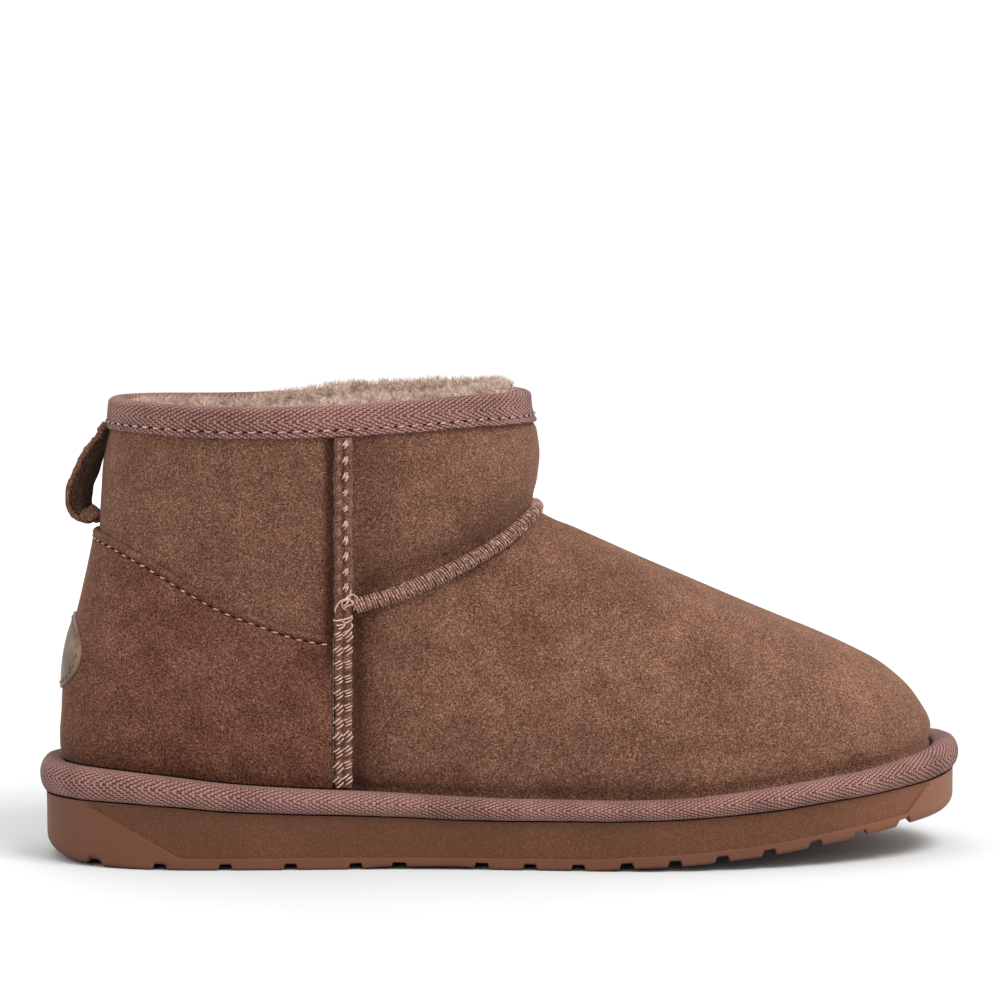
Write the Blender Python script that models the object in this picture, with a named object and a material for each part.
# Sheepskin ankle boot for the right foot: a hollow skin of last-shaped sections, lined with its
# own fleece, on a moulded foam sole. Metres, +Z up, toe along +X, the foot's outer side along -Y,
# with the lugs on the ground at z = 0. While the pieces are made, x = 0 is the back of the sole.
import math

import bmesh
import bpy
import numpy as np

# Moulded sole
SOLE_LENGTH = 0.2834          # back of the heel to the toe
HEEL_THICKNESS = 0.0200
BALL_THICKNESS = 0.0147
TOE_SPRING = 0.012           # rise of the underside at the toe
ARCH_LIFT = 0.0009           # rise of the underside at the waist
LEDGE = 0.0068               # how far the sole's edge stands outside the upper
BAND_HEIGHT = 0.0032         # raised band round the foot of the side
STEP_DEPTH = 0.0006          # how far the side panel lies behind band and bumpers
STEP_SLOPE = 0.0005          # height of the small slope between panel and band
HEEL_BUMPER = 0.0417          # length of the smooth heel bumper at the band
HEEL_BUMPER_RAKE = math.radians(29.5)
TOE_BUMPER = 0.0192           # length of the smooth toe bumper at the band
TOE_BUMPER_RAKE = math.radians(45.0)
BUMPER_BLEND = 0.003         # height over which the panel's depth fades under the tape
HEEL_EDGE = (0.010, 0.007)   # rounding under the heel: length, height
TOE_EDGE = (0.006, 0.005)
SIDE_EDGE = (0.0012, 0.0010)

# Grooves between the lugs
HEEL_PITCH = 0.0197
HEEL_GROOVE_START = 0.0160
HEEL_GROOVES = 5
WAIST_GROOVE = 0.1080        # the one groove in front of the arch
FORE_PITCH = 0.0145
FORE_GROOVE_START = 0.1329
FORE_GROOVES = 10
GROOVE_WIDTH = 0.0044
GROOVE_FLOOR = 0.0030
GROOVE_DEPTH = 0.0018

# Last: sizes of the upper's outer face
SEAT_WIDTH = 0.066           # across the heel seat at the feather line
BALL_WIDTH = 0.094           # across the ball at the feather line
SHAFT_WIDTH = 0.092          # across the collar
BOOT_HEIGHT = 0.1434         # floor to the top of the binding at the front of the collar
COLLAR_DEPTH = 0.1277        # back to front of the collar
COLLAR_DIP = 0.003           # hollow of the collar's line behind the middle
BACK_LEAN = 0.015            # how far the back of the collar stands in front of the heel
CREASE_X = 0.1517            # where shaft and instep meet in front
INSTEP_HEIGHT = 0.1067
TOE_WALL = 0.0369             # height at which the toe cap starts to curve back
TOE_SWING = 0.007            # how far the toe turns to the inner side
TOE_ROUND_OUTER = 0.092
TOE_ROUND_INNER = 0.070
TOE_POWER = 2.4
HEEL_ROUND = 0.045
HEEL_POWER = 2.3
SHAFT_POWER = 2.15
ARCH_SHOULDER = 2.25         # fullness of a cross-section's shoulders
BELLY = 0.0012               # swell of the side above the feather line
CREASE_RADIUS = 0.003        # between shaft and instep, in front
SIDE_RADIUS = 0.012          # the same at the boot's sides, where the crease runs out
CREASE_RUN = 0.045           # length over which it does

# Skins, tapes and seams
SKIN = 0.0026
PILE = 0.0070                # depth of the fleece
TOE_PILE = 0.0045            # depth of the fleece, pressed in the toe
LOCK_HEIGHT = 0.0012         # swell of one lock of fleece
CREST_FRONT = 0.0008         # fleece above the collar in front
CREST_BACK = -0.0030         # and at the back, below the collar
INSOLE = 0.0080
CLEARANCE = 0.0003           # gap between pieces that lie on each other
OVERLAY_CLEARANCE = 0.0005   # the same where they also bend round the heel
BINDING = 0.0010             # thickness of the collar's tape
BINDING_OUTSIDE = 0.0095
BINDING_INSIDE = 0.0075
TAPE_HEIGHT = 0.0105         # sole tape at the heel
TAPE_OVERHANG = 0.0019       # sole tape outside the sole's edge
COUNTER = 0.0012
COUNTER_TOP = 0.1015         # height of the counter's edge at the back
COUNTER_END = 0.0702         # and at the side seams
SIDE_SEAM_X = 0.0912
SIDE_SEAM_WIDTH = 0.0058
SIDE_SEAM_HEIGHT = 0.0022
JUNCTION_HEIGHT = 0.0799      # where the instep seam leaves the side seam
VAMP_SEAM_WIDTH = 0.0044
VAMP_SEAM_HEIGHT = 0.0026
VAMP_SEAM_CLEARANCE = 0.0008 # gap under the seam in the crease
LOOP_WIDTH = 0.014
LOOP_THICKNESS = 0.0022
LOOP_REACH = 0.0082          # strap's middle outside the back of the skin
LOOP_INSET = 0.0025           # the strap's top lies under the binding's edge by this
LOOP_STANDOFF = 0.0015        # its foot above the counter
LOOP_TWIST = math.radians(15.0)
PATCH_WIDTH = 0.040
PATCH_HEIGHT = 0.023
PATCH = 0.0007
PATCH_LEVEL = 0.0629          # height of the patch's middle

# Fineness of the meshes
COLUMNS = 48
TURN_STEP = 0.0008
RISE_STEP = 0.0002

TOE_X = SOLE_LENGTH - LEDGE
COLLAR_X = LEDGE + BACK_LEAN
LOOP_TOP = BOOT_HEIGHT - BINDING_OUTSIDE - LOOP_INSET
LOOP_FOOT = COUNTER_TOP + LOOP_STANDOFF
SEAM_LEVEL = 0.62
UPPER_LEVELS = (0, 0.07, 0.15, 0.22, 0.30, 0.38, 0.46, 0.53, 0.58, 0.605,
                0.62, 0.635, 0.68, 0.76, 0.84, 0.92, 1)


def table(columns, rows):
    """Rows of a table as one array for each named column."""
    return dict(zip(columns, np.array(rows, dtype=float).T))


# Sole, heel to toe: place along its length, thickness (0 ball, 1 heel), rise of the underside as
# shares of toe spring and arch lift, and height of the tape as a share of the heel's
SOLE = table(("forward", "thickness", "spring", "arch", "tape"), (
    (0.000, 1.00, 0.00, 0.0, 1.00),
    (0.065, 0.98, 0.00, 0.0, 0.93),
    (0.130, 0.84, 0.00, 0.0, 0.86),
    (0.200, 0.53, 0.00, 0.0, 0.79),
    (0.285, 0.35, 0.00, 0.0, 0.72),
    (0.330, 0.28, 0.00, 0.0, 0.70),
    (0.370, 0.21, 0.00, 1.0, 0.68),
    (0.440, 0.05, 0.00, 1.0, 0.65),
    (0.500, 0.00, 0.00, 0.0, 0.62),
    (0.580, 0.03, 0.00, 0.0, 0.59),
    (0.635, -0.10, 0.08, 0.0, 0.57),
    (0.680, -0.14, 0.13, 0.0, 0.57),
    (0.730, -0.20, 0.23, 0.0, 0.60),
    (0.790, -0.30, 0.38, 0.0, 0.66),
    (0.840, -0.37, 0.55, 0.0, 0.68),
    (0.890, -0.50, 0.72, 0.0, 0.71),
    (0.945, -0.55, 0.90, 0.0, 0.81),
    (1.000, -0.30, 1.00, 0.0, 0.90),
))

# Feather line, heel to toe: half widths of both sides, from 0 at the seat to 1 at the ball
FEATHER = table(("forward", "outer", "inner"), (
    (0.14, 0.00, 0.00),
    (0.27, 0.05, 0.00),
    (0.39, 0.15, -0.06),
    (0.53, 0.50, 0.28),
    (0.68, 1.00, 0.88),
    (0.77, 1.05, 1.00),
    (0.98, 1.00, 1.00),
))

# Shaft, floor to collar: place in the boot's height, back line as a share of its lean, front line
# as a share of the collar's depth, and width as a share of the collar's
SHAFT = table(("height", "back", "front", "width"), (
    (0.1060, 0.040, 0.825, 0.600),
    (0.2510, 0.000, 0.860, 0.660),
    (0.3280, 0.013, 0.880, 0.710),
    (0.4260, 0.100, 0.904, 0.770),
    (0.5310, 0.347, 0.940, 0.835),
    (0.6360, 0.573, 0.970, 0.892),
    (0.7060, 0.693, 0.998, 0.925),
    (0.7480, 0.710, 1.018, 0.940),
    (0.7890, 0.740, 1.032, 0.955),
    (0.8460, 0.787, 1.037, 0.972),
    (0.9160, 0.913, 1.025, 0.989),
    (0.9400, 0.940, 1.010, 0.993),
    (0.9650, 0.965, 1.001, 0.996),
    (1.0000, 1.000, 0.998, 1.000),
))

# Top line of the foot, from inside the shaft over the crease to the toe: place between crease (0)
# and toe (1), and height between the toe's wall (0) and the instep (1)
RIDGE = table(("forward", "height"), (
    (-0.4080, 1.304),
    (-0.2060, 1.163),
    (0.0000, 1.000),
    (0.1156, 0.897),
    (0.2160, 0.815),
    (0.3150, 0.736),
    (0.4155, 0.656),
    (0.5160, 0.580),
    (0.6160, 0.506),
    (0.7160, 0.430),
    (0.8165, 0.344),
    (0.8660, 0.297),
    (0.9160, 0.230),
    (0.9500, 0.170),
    (0.9780, 0.093),
    (1.0000, 0.000),
))

# Seam between shaft and instep: place between side seam (0) and crease (1), and its rise
SEAM = table(("forward", "rise"), (
    (-1.30, -0.050),
    (0.00, 0.000),
    (0.20, 0.090),
    (0.37, 0.220),
    (0.53, 0.370),
    (0.64, 0.485),
    (0.84, 0.730),
    (1.00, 1.000),
))

# Collar from back to front: how deep its line dips
COLLAR = table(("forward", "dip"), (
    (0.000, 0.60),
    (0.290, 1.00),
    (0.510, 0.77),
    (0.735, 0.30),
    (0.870, 0.00),
    (1.000, 0.00),
))

# Upper edge of the heel counter, from the back to the side seam
COUNTER_LINE = table(("forward", "height"), (
    (0.000, 1.000),
    (0.080, 0.927),
    (0.165, 0.827),
    (0.225, 0.757),
    (0.410, 0.495),
    (0.530, 0.342),
    (0.690, 0.192),
    (0.835, 0.073),
    (1.000, 0.000),
))

# Sole tape's section: reach outside the skin and height above the ledge
TAPE_SECTION = table(("reach", "height"), (
    (0.06, 0.00),
    (0.72, 0.00),
    (0.90, 0.10),
    (1.00, 0.42),
    (0.95, 0.72),
    (0.78, 0.93),
    (0.50, 1.00),
    (0.20, 0.98),
    (0.06, 0.90),
))

# Pull loop from the collar down: reach of the strap's middle and its height between foot and top
LOOP = table(("along", "reach", "height"), (
    (0.00, 0.19, 1.000),
    (0.10, 0.39, 0.880),
    (0.21, 0.64, 0.750),
    (0.32, 0.74, 0.620),
    (0.43, 0.86, 0.490),
    (0.54, 1.00, 0.360),
    (0.65, 1.00, 0.230),
    (0.75, 0.91, 0.110),
    (0.84, 0.68, 0.030),
    (0.92, 0.36, 0.000),
    (1.00, 0.19, 0.030),
))


def read(rows, column, place):
    """Smooth value of a column at a place in the table's first column, flat beyond its ends."""
    at = next(iter(rows.values()))
    value = rows[column]
    step = np.diff(at)
    slope = np.diff(value) / step
    before = slope[:-1]
    after = slope[1:]
    weight_before = 2 * step[1:] + step[:-1]
    weight_after = step[1:] + 2 * step[:-1]
    level = before * after <= 0
    safe_before = np.where(level, 1.0, before)
    safe_after = np.where(level, 1.0, after)
    inner = (weight_before + weight_after) / (weight_before / safe_before + weight_after / safe_after)
    tangent = np.concatenate(([slope[0]], np.where(level, 0.0, inner), [slope[-1]]))
    place = np.clip(place, at[0], at[-1])
    row = np.clip(np.searchsorted(at, place, side="right") - 1, 0, len(at) - 2)
    t = (place - at[row]) / step[row]
    return ((2 * t**3 - 3 * t**2 + 1) * value[row] + (t**3 - 2 * t**2 + t) * step[row] * tangent[row]
            + (3 * t**2 - 2 * t**3) * value[row + 1] + (t**3 - t**2) * step[row] * tangent[row + 1])


def smoothstep(t):
    """Soft ramp from 0 to 1."""
    t = np.clip(t, 0.0, 1.0)
    return t * t * (3 - 2 * t)


def rounded(t, power):
    """Round end of an outline: 0 at the end, 1 from one length further in."""
    t = np.clip(t, 0.0, 1.0)
    return (1 - (1 - t)**power)**(1 / power)


def blend_max(first, second, radius):
    """The larger of two forms, with a small radius where they meet."""
    radius = np.minimum(radius, 2 * np.minimum(first, second)) + 1e-9
    overlap = np.maximum(radius - np.abs(first - second), 0.0)
    return np.maximum(first, second) + overlap**2 / (4 * radius)


# Lines of the boot over its length
def sole_rise(x):
    """Rise of the whole sole towards the toe."""
    return TOE_SPRING * read(SOLE, "spring", x / SOLE_LENGTH)


def sole_bottom(x):
    """Height of the sole's underside, hollowed under the arch."""
    return sole_rise(x) + ARCH_LIFT * read(SOLE, "arch", x / SOLE_LENGTH)


def sole_top(x):
    """Height of the sole's upper face."""
    thickness = BALL_THICKNESS + (HEEL_THICKNESS - BALL_THICKNESS) * read(SOLE, "thickness", x / SOLE_LENGTH)
    return sole_rise(x) + thickness


def feather_line(x):
    """Lower edge of the skin, just above the sole."""
    return sole_top(x) + CLEARANCE


def tape_height(x):
    """Height of the sole tape above the ledge."""
    return TAPE_HEIGHT * read(SOLE, "tape", x / SOLE_LENGTH)


def tape_top(x):
    """Lower edge of whatever stands just above the sole tape."""
    return feather_line(x) + tape_height(x) + CLEARANCE


def seam_line(x):
    """Seam between shaft and instep."""
    place = (x - SIDE_SEAM_X) / (CREASE_X - SIDE_SEAM_X)
    return JUNCTION_HEIGHT + (INSTEP_HEIGHT - JUNCTION_HEIGHT) * read(SEAM, "rise", place)


def collar_line(x):
    """Top of the collar's binding."""
    return BOOT_HEIGHT - COLLAR_DIP * read(COLLAR, "dip", (x - COLLAR_X) / COLLAR_DEPTH)


def rim_line(x):
    """Upper edge of the skin, under the binding."""
    return collar_line(x) - BINDING - CLEARANCE


def counter_line(x):
    """Upper edge of the heel counter."""
    start = LEDGE + 0.6 * BACK_LEAN
    place = (x - start) / (SIDE_SEAM_X - start)
    return COUNTER_END + (COUNTER_TOP - COUNTER_END) * read(COUNTER_LINE, "height", place)


def insole_line(x):
    """Upper face of the insole."""
    return feather_line(x) + INSOLE


RIDGE_PLACES = np.linspace(RIDGE["forward"][0], RIDGE["forward"][-1], 900)
RIDGE_X = CREASE_X + (TOE_X - CREASE_X) * RIDGE_PLACES
RIDGE_Z = TOE_WALL + (INSTEP_HEIGHT - TOE_WALL) * read(RIDGE, "height", RIDGE_PLACES)


# The upper's outer face
def back_of_wall(z):
    """Back line of heel and shaft."""
    return LEDGE + BACK_LEAN * read(SHAFT, "back", z / BOOT_HEIGHT)


def front_of_shaft(z):
    """Front line of the shaft, carried down inside the foot."""
    return COLLAR_X + COLLAR_DEPTH * read(SHAFT, "front", z / BOOT_HEIGHT)


def front_of_wall(z):
    """Front line of the whole upper: the toe, the instep and the shaft above it."""
    return np.maximum(np.interp(z, RIDGE_Z[::-1], RIDGE_X[::-1]), front_of_shaft(z))


def foot_half(x, z, outer):
    """Half width of the foot's form."""
    place = x / SOLE_LENGTH
    swell = np.where(outer, read(FEATHER, "outer", place), read(FEATHER, "inner", place))
    half = (SEAT_WIDTH + (BALL_WIDTH - SEAT_WIDTH) * swell) / 2
    low = feather_line(x)
    rise = np.clip((z - low) / (np.interp(x, RIDGE_X, RIDGE_Z) - low), 0.0, 1.0)
    half = (half + BELLY * np.sin(math.pi * rise)) * np.sqrt(1 - rise**ARCH_SHOULDER)
    toe_round = np.where(outer, TOE_ROUND_OUTER, TOE_ROUND_INNER)
    return half * rounded((x - back_of_wall(z)) / HEEL_ROUND, HEEL_POWER) * rounded((TOE_X - x) / toe_round, TOE_POWER)


def shaft_half(x, z):
    """Half width of the shaft's form."""
    back = back_of_wall(z)
    front = front_of_shaft(z)
    place = np.clip(np.abs(2 * (x - back) / (front - back) - 1), 0.0, 1.0)
    half = SHAFT_WIDTH * read(SHAFT, "width", z / BOOT_HEIGHT) / 2
    return half * (1 - place**SHAFT_POWER)**(1 / SHAFT_POWER)


def wall(turn, z):
    """Point of the outer face. Turn 0 is the back, 0 to 0.5 the outer side and 0.5 the front."""
    turn, z = np.broadcast_arrays(np.mod(turn, 1.0), z)
    along = 1 - np.abs(1 - 2 * turn)
    back = back_of_wall(z)
    x = back + (front_of_wall(z) - back) * (1 - np.cos(math.pi * along)) / 2
    outer = turn < 0.5
    radius = CREASE_RADIUS + (SIDE_RADIUS - CREASE_RADIUS) * smoothstep((CREASE_X - x) / CREASE_RUN)
    half = blend_max(foot_half(x, z, outer), shaft_half(x, z), radius)
    swing = TOE_SWING * smoothstep((x - CREASE_X) / (TOE_X - CREASE_X))
    return np.stack((x, swing + np.where(outer, -half, half), z), axis=-1)


def outward(turn, z, level=False):
    """Unit normal of the outer face, or its level direction."""
    around = wall(turn + TURN_STEP, z) - wall(turn - TURN_STEP, z)
    up = wall(turn, z + RISE_STEP) - wall(turn, z - RISE_STEP)
    normal = np.cross(around, up)
    if level:
        normal[..., 2] = 0.0
    return normal / np.linalg.norm(normal, axis=-1, keepdims=True)


def lift(turn, z, offset, level=False):
    """Point of the outer face, moved out of it by an offset."""
    turn, z, offset = np.broadcast_arrays(turn, z, offset)
    return wall(turn, z) + outward(turn, z, level) * offset[..., None]


def turn_at(x, z):
    """Turn of the outer side at a place in the boot's length."""
    back = back_of_wall(z)
    place = np.clip((x - back) / (front_of_wall(z) - back), 0.0, 1.0)
    return np.arccos(1 - 2 * place) / (2 * math.pi)


def settle(turn_of, line, z):
    """Height at which each column of the face meets a line drawn over the boot's length."""
    for _ in range(60):
        z = z + 0.5 * (line(wall(turn_of(z), z)[..., 0]) - z)
    return z


def meet(turn, line):
    """Height at which fixed turns of the face meet a line."""
    turn = np.asarray(turn, dtype=float)
    return settle(lambda z: turn, line, np.full(turn.shape, JUNCTION_HEIGHT))


def climb(turn, level, low, top):
    """Heights of loops that follow a low line, then the instep's seam, then a top line."""
    turn, level = np.broadcast_arrays(turn, level)

    def line(x):
        seam = seam_line(x)
        below = low(x) + (seam - low(x)) * level / SEAM_LEVEL
        above = seam + (top(x) - seam) * (level - SEAM_LEVEL) / (1 - SEAM_LEVEL)
        return np.where(level < SEAM_LEVEL, below, above)

    return settle(lambda z: turn, line, np.full(turn.shape, JUNCTION_HEIGHT))


def beside(turn, reach, line):
    """Point at a level reach from the face, on a line over the boot's length."""
    turn, reach = np.broadcast_arrays(turn, reach)
    z = settle(lambda height: turn, line, np.full(turn.shape, TOE_WALL))
    point = lift(turn, z, reach, level=True)
    point[..., 2] = line(point[..., 0])
    return point


def turns(count):
    """Even turns round the boot, with a short edge across its back and its front."""
    return (np.arange(count) + 0.5) / count


# Building
def linear(code):
    """Linear colour of a hex sRGB code."""
    parts = [int(code[i:i + 2], 16) / 255 for i in (1, 3, 5)]
    return [c / 12.92 if c <= 0.04045 else ((c + 0.055) / 1.055)**2.4 for c in parts] + [1.0]


def finish(name, code, roughness):
    """Principled material in one colour."""
    material = bpy.data.materials.new(name)
    material.use_nodes = True
    shader = material.node_tree.nodes["Principled BSDF"]
    shader.inputs["Base Color"].default_value = linear(code)
    shader.inputs["Roughness"].default_value = roughness
    shader.inputs["Metallic"].default_value = 0.0
    return material


def loft(name, rings, material, closed, sharp=35.0):
    """Solid through rings of points: round into itself if closed, else capped at both ends."""
    rings = np.asarray(rings)
    rows, columns = rings.shape[:2]
    mesh = bmesh.new()
    corners = [mesh.verts.new(point) for point in rings.reshape(-1, 3)]
    for row in range(rows if closed else rows - 1):
        low = row * columns
        high = (row + 1) % rows * columns
        for i in range(columns):
            j = (i + 1) % columns
            mesh.faces.new((corners[low + i], corners[low + j], corners[high + j], corners[high + i]))
    if not closed:
        for start in (0, (rows - 1) * columns):
            for i in range(columns // 2 - 1):
                j = columns - 1 - i
                mesh.faces.new([corners[start + k] for k in (i, i + 1, j - 1, j)])
    bmesh.ops.triangulate(mesh, faces=mesh.faces, quad_method="SHORT_EDGE")
    bmesh.ops.recalc_face_normals(mesh, faces=mesh.faces)
    data = bpy.data.meshes.new(name)
    mesh.to_mesh(data)
    mesh.free()
    data.shade_smooth()
    data.set_sharp_from_angle(angle=math.radians(sharp))
    data.materials.append(material)
    piece = bpy.data.objects.new(name, data)
    bpy.context.scene.collection.objects.link(piece)
    piece.parent = bpy.data.objects["boot"]
    return piece


# Moulded sole
def step_line(x):
    """Top of the band round the sole, which climbs into the smooth heel and toe bumpers."""
    heel = np.maximum(HEEL_BUMPER - x, 0.0) * math.tan(HEEL_BUMPER_RAKE)
    toe = np.maximum(x - SOLE_LENGTH + TOE_BUMPER, 0.0) * math.tan(TOE_BUMPER_RAKE)
    return sole_rise(x) + BAND_HEIGHT + heel + toe


def panel_depth(x):
    """How far the side panel is set back, fading out in the bumpers."""
    return STEP_DEPTH * np.clip((sole_top(x) - step_line(x)) / BUMPER_BLEND, 0.0, 1.0)


def groove_places():
    """Middles of the grooves between the lugs, from heel to toe."""
    heel = HEEL_GROOVE_START + HEEL_PITCH * np.arange(HEEL_GROOVES)
    fore = FORE_GROOVE_START + FORE_PITCH * np.arange(FORE_GROOVES)
    return np.concatenate((heel, [WAIST_GROOVE], fore))


def make_outsole(material):
    """Foam sole: stepped side, rounded lower edge and grooves right across."""
    turn = turns(COLUMNS)
    edge = beside(turn, LEDGE, feather_line)
    facing = outward(turn, meet(turn, feather_line), level=True)[..., 0]
    heel_share = np.maximum(-facing, 0.0)**2
    toe_share = np.maximum(facing, 0.0)**2
    run, rise = (side + heel_share * (heel - side) + toe_share * (toe - side)
                 for side, heel, toe in zip(SIDE_EDGE, HEEL_EDGE, TOE_EDGE))

    def ring(inset, line):
        return beside(turn, LEDGE - inset, line)

    def step_foot(x):
        return np.minimum(step_line(x), sole_top(x) - BUMPER_BLEND)

    depth = panel_depth(edge[..., 0])
    rings = [ring(depth, sole_top), ring(depth, lambda x: step_foot(x) + STEP_SLOPE), ring(0.0, step_foot)]
    for share in (0.0, 0.35, 0.7, 1.0):
        angle = share * math.pi / 2
        drop = rise * (1 - math.sin(angle))
        rings.append(ring(run * (1 - math.cos(angle)), lambda x, drop=drop: sole_bottom(x) + drop))
    sole = loft("outsole", rings, material, closed=False)
    cut = sole.modifiers.new("grooves", "BOOLEAN")
    cut.operation = "DIFFERENCE"
    cut.solver = "EXACT"
    cut.object = make_groove_cutter()
    return sole


def make_groove_cutter():
    """Bars with a sloping section, one in each groove, wider than the sole."""
    mesh = bmesh.new()
    for x in groove_places():
        slope = math.atan2(sole_bottom(x + GROOVE_WIDTH) - sole_bottom(x - GROOVE_WIDTH), 2 * GROOVE_WIDTH)
        flare = (GROOVE_WIDTH - GROOVE_FLOOR) / 2
        section = ((-GROOVE_WIDTH / 2 - flare, -GROOVE_DEPTH), (GROOVE_WIDTH / 2 + flare, -GROOVE_DEPTH),
                   (GROOVE_FLOOR / 2, GROOVE_DEPTH), (-GROOVE_FLOOR / 2, GROOVE_DEPTH))
        sides = []
        for y in (-BALL_WIDTH, BALL_WIDTH):
            points = [(x + a * math.cos(slope) - b * math.sin(slope), y,
                       sole_bottom(x) + a * math.sin(slope) + b * math.cos(slope)) for a, b in section]
            sides.append([mesh.verts.new(point) for point in points])
        near, far = sides
        mesh.faces.new(near)
        mesh.faces.new(far[::-1])
        for i in range(4):
            j = (i + 1) % 4
            mesh.faces.new((near[j], near[i], far[i], far[j]))
    bmesh.ops.recalc_face_normals(mesh, faces=mesh.faces)
    data = bpy.data.meshes.new("groove_cutter")
    mesh.to_mesh(data)
    mesh.free()
    cutter = bpy.data.objects.new("groove_cutter", data)
    bpy.context.scene.collection.objects.link(cutter)
    cutter.parent = bpy.data.objects["boot"]
    cutter.hide_render = True
    cutter.display_type = "WIRE"
    return cutter


def make_insole(material):
    """Footbed that fills the skin's lower opening from side to side."""
    turn = turns(COLUMNS)
    inset = -(SKIN + CLEARANCE)
    softening = 0.0015
    rings = [
        beside(turn, inset, feather_line),
        beside(turn, inset, lambda x: insole_line(x) - softening),
        beside(turn, inset - softening, insole_line),
    ]
    return loft("insole", rings, material, closed=False)


# Upper
def make_upper(material):
    """One hollow skin: outer face, then the same face one skin further in."""
    turn = turns(COLUMNS)[None, :]
    z = climb(turn, np.array(UPPER_LEVELS)[:, None], feather_line, rim_line)
    outside = wall(turn, z)
    inside = lift(turn, z, -SKIN)
    inside[..., 2] = np.maximum(inside[..., 2], feather_line(inside[..., 0]))
    inside[0, :, 2] = feather_line(inside[0, :, 0])
    inside[-1, :, 2] = outside[-1, :, 2]
    return loft("upper", np.concatenate((outside, inside[::-1])), material, closed=True)


def crest_rise(x):
    """Height of the fleece above the collar, fuller in front."""
    place = (x - COLLAR_X) / COLLAR_DEPTH
    return CREST_BACK + (CREST_FRONT - CREST_BACK) * smoothstep((place - 0.35) / 0.35)


def locks(turn, level):
    """Swell of the fleece's locks, from -1 to 1, staggered from row to row."""
    return np.sin(2 * math.pi * (23 * turn + 3.5 * level)) * np.cos(2 * math.pi * (4.6 * level + 0.3 * np.sin(44 * turn)))


def make_lining(material):
    """Fleece: flat against the skin, lumpy inside, and standing up out of the collar."""
    turn = turns(COLUMNS)[None, :]

    def low(x):
        return insole_line(x) + 2 * CLEARANCE

    def leg_foot(x):
        return collar_line(x) - BINDING_INSIDE - 2 * CLEARANCE

    foot = beside(turn, -(SKIN + CLEARANCE), low)
    z = climb(turn, np.array(UPPER_LEVELS[2:-2])[:, None], feather_line, rim_line)
    back = np.concatenate((foot, lift(turn, z, -(SKIN + CLEARANCE))))
    under_leg = beside(turn, -(SKIN + CLEARANCE), leg_foot)
    beside_leg = -(SKIN + BINDING + 3 * CLEARANCE)
    step = beside(turn, beside_leg, leg_foot)
    top = beside(turn, beside_leg, collar_line)
    ripple = LOCK_HEIGHT * locks(turn, 0.93)
    crest_out = beside(turn, beside_leg - 0.0006, lambda x: collar_line(x) + np.maximum(crest_rise(x), 0.0005) * 0.7)
    crest_out[..., 2] += 0.5 * ripple
    crest = beside(turn, beside_leg - 0.0026, lambda x: collar_line(x) + crest_rise(x) + 0.0006)
    crest[..., 2] += ripple
    crest_in = beside(turn, -(SKIN + PILE) + ripple, lambda x: collar_line(x) + crest_rise(x) - 0.0035)
    inner_levels = np.array((0.90, 0.79, 0.68, 0.58, 0.47, 0.35, 0.24, 0.13, 0.06, 0))[:, None]
    z = climb(turn, inner_levels, low, rim_line)
    place = smoothstep((wall(turn, z)[..., 0] - 0.7 * SOLE_LENGTH) / (0.2 * SOLE_LENGTH))
    depth = PILE + (TOE_PILE - PILE) * place
    inner = lift(turn, z, -(SKIN + CLEARANCE + depth) + LOCK_HEIGHT * locks(turn, inner_levels))
    inner[..., 2] = np.maximum(inner[..., 2], low(inner[..., 0]))
    inner[-1, :, 2] = low(inner[-1, :, 0])
    rings = np.concatenate((back, under_leg, step, top, crest_out, crest, crest_in, inner))
    return loft("fleece_lining", rings, material, closed=True)


# Overlays and seams
def make_counter(material):
    """Heel counter from side seam to side seam, just above the sole tape."""
    end = SIDE_SEAM_X - SIDE_SEAM_WIDTH / 2 - CLEARANCE
    inner_turns = turns(COLUMNS)[turns(COLUMNS) < turn_at(end, feather_line(end))]
    share = np.concatenate((-inner_turns[::-1], inner_turns))[None, :]
    height = np.linspace(0.0, 1.0, 8)[:, None]

    def turn_of(z):
        edge = turn_at(end, z)[:, :1]
        return np.concatenate((-edge, np.broadcast_to(share, (len(z), share.size)), edge), axis=1)

    def line(x):
        return tape_top(x) + (counter_line(x) - tape_top(x)) * height

    z = settle(turn_of, line, np.full((height.size, share.size + 2), JUNCTION_HEIGHT))
    inner = lift(turn_of(z), z, OVERLAY_CLEARANCE)
    outer = lift(turn_of(z), z, OVERLAY_CLEARANCE + COUNTER)
    for face in (inner, outer):
        face[0, :, 2] = tape_top(face[0, :, 0])
    return loft("heel_counter", np.concatenate((outer, inner[:, ::-1]), axis=1), material, closed=False)


def make_patch(material):
    """Plain oval patch on the back of the counter."""
    dense = np.linspace(0.0, 0.2, 400)
    line = wall(dense, np.full(dense.shape, PATCH_LEVEL))
    run = np.concatenate(([0.0], np.cumsum(np.linalg.norm(np.diff(line, axis=0), axis=1))))
    angle = 2 * math.pi * turns(24)
    base = 2 * OVERLAY_CLEARANCE + COUNTER

    def ring(share, offset):
        arc = share * PATCH_WIDTH / 2 * np.cos(angle)
        turn = np.sign(arc) * np.interp(np.abs(arc), run, dense)
        return lift(turn, PATCH_LEVEL + share * PATCH_HEIGHT / 2 * np.sin(angle), offset)

    rings = [ring(share, base) for share in (0.3, 0.65, 1.0)]
    rings += [ring(1.0, base + 0.6 * PATCH)]
    rings += [ring(share, base + PATCH) for share in (0.94, 0.65, 0.3)]
    return loft("heel_patch", rings, material, closed=False)


def bead_section(height, clearance):
    """Section of a raised seam: place across it from -1 to 1, and height above the skin."""
    across = (-1.0, -0.55, 0.55, 1.0)
    crown = (0.45, 1.0, 1.0, 0.45)
    top = [(u, clearance + (height - clearance) * h) for u, h in zip(across, crown)]
    return top + [(u, clearance) for u in across[::-1]]


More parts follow.
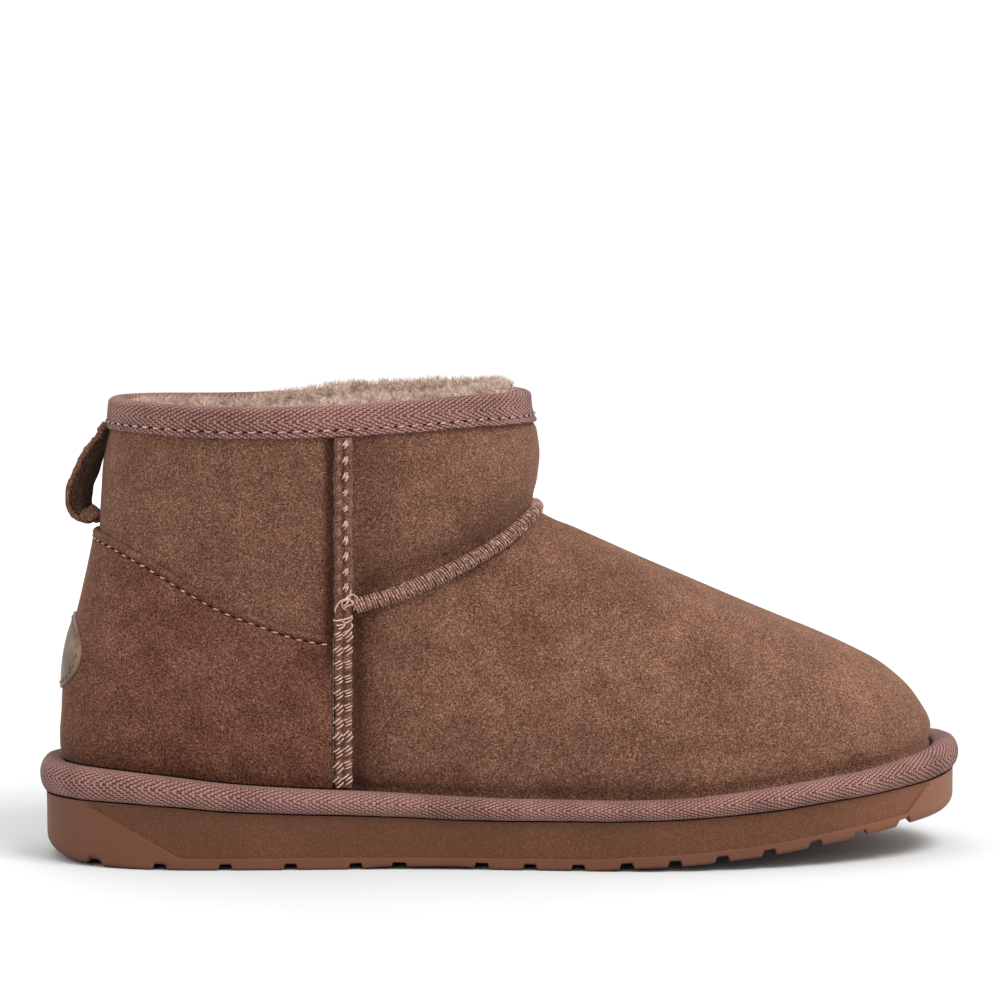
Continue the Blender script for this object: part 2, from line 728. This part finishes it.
def make_side_seam(name, side, material):
    """Raised seam up one side, from the sole tape to the collar's binding."""
    section = np.array(bead_section(SIDE_SEAM_HEIGHT, CLEARANCE))
    x = SIDE_SEAM_X + section[:, 0] * SIDE_SEAM_WIDTH / 2
    share = np.linspace(0.0, 1.0, 11)[:, None]
    low = tape_top(x) + CLEARANCE
    high = collar_line(x) - BINDING_OUTSIDE - CLEARANCE
    z = low + (high - low) * share
    return loft(name, lift(side * turn_at(x, z), z, section[:, 1]), material, closed=False)


def make_vamp_seam(material):
    """Raised seam over the instep, from one side seam to the other."""
    section = np.array(bead_section(VAMP_SEAM_HEIGHT, VAMP_SEAM_CLEARANCE))
    share = np.linspace(-1.0, 1.0, 33)[:, None]
    start = SIDE_SEAM_X + SIDE_SEAM_WIDTH / 2 + CLEARANCE

    def turn_of(z):
        return 0.5 + share * (0.5 - turn_at(start, z))

    z = settle(turn_of, seam_line, np.full(share.shape, JUNCTION_HEIGHT))
    across = section[:, 0] * VAMP_SEAM_WIDTH / 2
    step = np.where(across < 0, -1.0, 1.0) * 5 * RISE_STEP
    stretch = np.linalg.norm(wall(turn_of(z), z + step) - wall(turn_of(z), z), axis=-1) / np.abs(step)
    z = z + across / stretch
    return loft("vamp_seam", lift(turn_of(z), z, section[:, 1]), material, closed=False)


# Tapes and loop
def make_collar_binding(material):
    """Tape folded over the collar's edge."""
    turn = turns(COLUMNS)
    outside = CLEARANCE + BINDING
    inner_gap = -(SKIN + 2 * CLEARANCE)
    inside = inner_gap - BINDING
    shoulder = 0.7 * BINDING
    section = (
        (CLEARANCE, BINDING_OUTSIDE),
        (outside, BINDING_OUTSIDE),
        (outside, BINDING),
        (outside - shoulder, 0.2 * BINDING),
        ((outside + inside) / 2, 0.0),
        (inside + shoulder, 0.2 * BINDING),
        (inside, BINDING),
        (inside, BINDING_INSIDE),
        (inner_gap, BINDING_INSIDE),
        (inner_gap, BINDING),
        (CLEARANCE, BINDING),
    )
    rings = [beside(turn, reach, lambda x, drop=drop: collar_line(x) - drop) for reach, drop in section]
    return loft("collar_binding", rings, material, closed=True)


def make_sole_binding(material):
    """Padded tape round the joint of skin and sole."""
    turn = turns(COLUMNS)
    reach = LEDGE + TAPE_OVERHANG
    rings = []
    for share, height in zip(TAPE_SECTION["reach"], TAPE_SECTION["height"]):
        rings.append(beside(turn, reach * share, lambda x, height=height: feather_line(x) + height * tape_height(x)))
    return loft("sole_binding", rings, material, closed=True)


def make_pull_loop(material):
    """Strap sewn to the back at both ends, standing off in between and turned a little."""
    along = np.linspace(0.0, 1.0, 25)
    reach = LOOP_REACH * read(LOOP, "reach", along)
    z = LOOP_FOOT + (LOOP_TOP - LOOP_FOOT) * read(LOOP, "height", along)
    middle = np.stack((back_of_wall(z) - reach, np.zeros_like(z), z), axis=-1)
    path = np.gradient(middle, axis=0)
    path /= np.linalg.norm(path, axis=1, keepdims=True)
    twist = LOOP_TWIST * np.sin(math.pi * along)**2
    width = np.stack((np.sin(twist), np.cos(twist), np.zeros_like(twist)), axis=-1)
    thick = np.cross(path, width)
    thick /= np.linalg.norm(thick, axis=1, keepdims=True)
    across = np.array((-0.5, -0.44, 0.44, 0.5, 0.5, 0.44, -0.44, -0.5)) * LOOP_WIDTH
    through = np.array((0.25, 0.5, 0.5, 0.25, -0.25, -0.5, -0.5, -0.25)) * LOOP_THICKNESS
    rings = (middle[:, None] + width[:, None] * across[None, :, None] + thick[:, None] * through[None, :, None])
    return loft("pull_loop", rings, material, closed=False)


def main():
    """Builds every piece, then moves the boot so that its origin is under its middle."""
    for old in list(bpy.data.objects):
        bpy.data.objects.remove(old, do_unlink=True)
    boot = bpy.data.objects.new("boot", None)
    bpy.context.scene.collection.objects.link(boot)

    suede = finish("suede", "#7d5845", 0.92)
    dark_suede = finish("heel suede", "#6d493c", 0.92)
    fleece = finish("fleece", "#a28577", 0.95)
    foam = finish("moulded foam rubber", "#704a39", 0.72)
    twill = finish("twill tape", "#8c6a61", 0.90)
    thread = finish("seam thread", "#83604f", 0.85)
    patch = finish("tan leather", "#84664f", 0.75)

    make_outsole(foam)
    make_insole(fleece)
    make_upper(suede)
    make_lining(fleece)
    make_counter(dark_suede)
    make_patch(patch)
    make_side_seam("side_seam_outer", 1, thread)
    make_side_seam("side_seam_inner", -1, thread)
    make_vamp_seam(thread)
    make_collar_binding(twill)
    tape = make_sole_binding(twill)
    make_pull_loop(dark_suede)

    corners = np.array([vertex.co for vertex in tape.data.vertices])
    middle = (corners.min(axis=0) + corners.max(axis=0)) / 2
    boot.location = (-middle[0], -middle[1], 0.0)


main()
